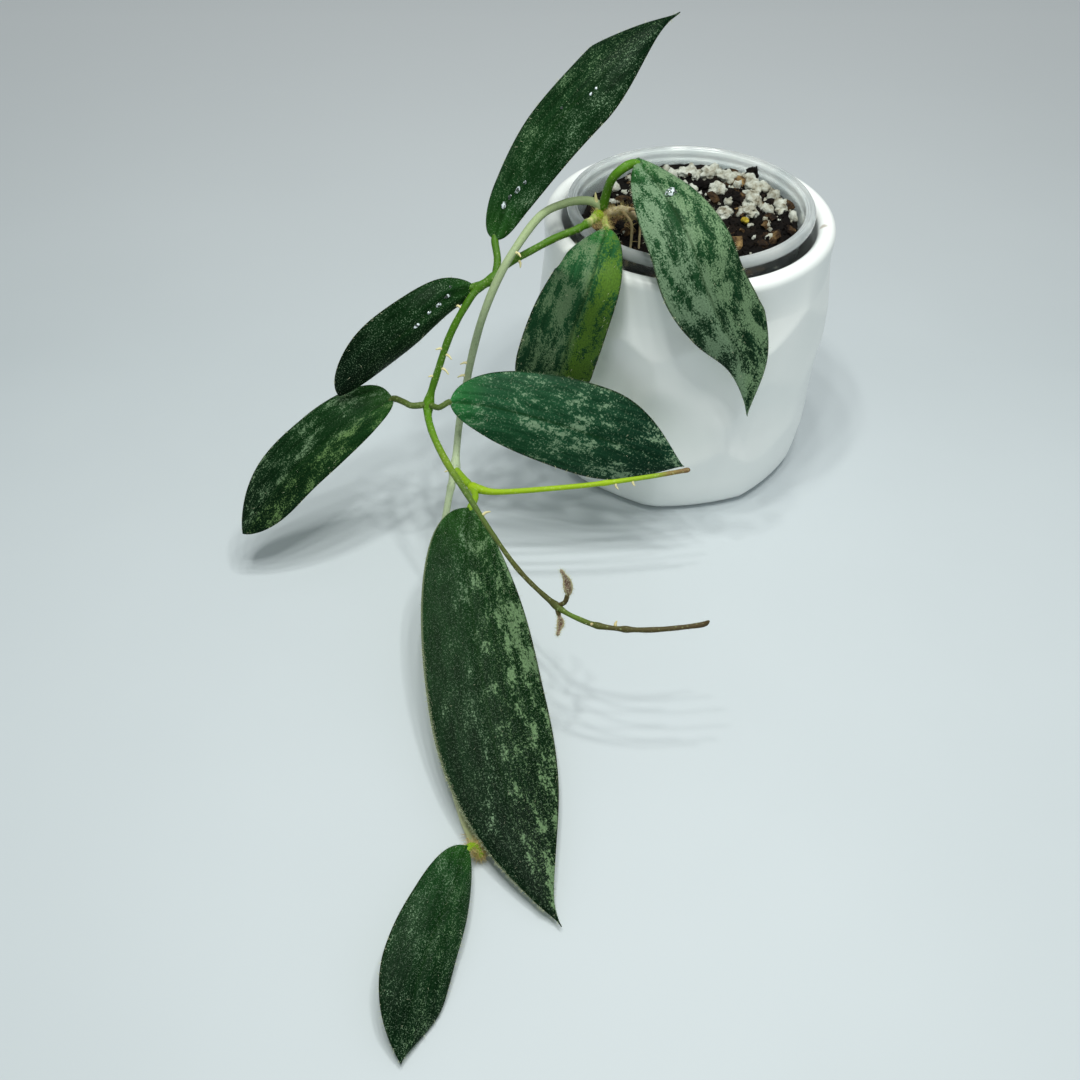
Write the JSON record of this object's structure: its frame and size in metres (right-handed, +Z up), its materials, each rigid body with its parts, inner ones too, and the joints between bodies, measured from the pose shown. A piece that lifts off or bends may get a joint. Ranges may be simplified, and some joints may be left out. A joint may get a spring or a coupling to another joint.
{
  "type": "potted hoya plant",
  "caption": "Trailing hoya with long silver-splashed leaves, rooted in a clear growing cup that stands inside a white dimpled ceramic cover pot.",
  "frame": {"origin": "centre of the pot's flat foot, on the surface it stands on", "axes": "+Z up; +Y away from the viewer, along the plant's longest extent; +X to the right, with the vines hanging over the pot's -X side"},
  "size_m": [0.2184, 0.3164, 0.1727],
  "materials": {
    "glaze": "gloss",
    "clear_plastic": "gloss",
    "potting_mix": "matte",
    "bark": "matte",
    "green_bark": "satin",
    "pale_bark": "satin",
    "new_growth": "satin",
    "blade": "satin",
    "young_blade": "matte"
  },
  "bodies": {
    "root": {"ceramic_pot": "glaze", "growing_cup": "clear_plastic", "potting_mix": "potting_mix", "old_stem": "bark", "green_vine": "green_bark", "pale_vine": "pale_bark", "new_shoot": "new_growth", "leaf_top": "blade", "leaf_rim": "blade", "leaf_front": "blade", "leaf_upper_left": "blade", "leaf_left": "blade", "leaf_centre": "blade", "leaf_long": "blade", "leaf_lower": "blade", "young_leaf_1": "young_blade", "young_leaf_2": "young_blade"}
  },
  "joints": []
}
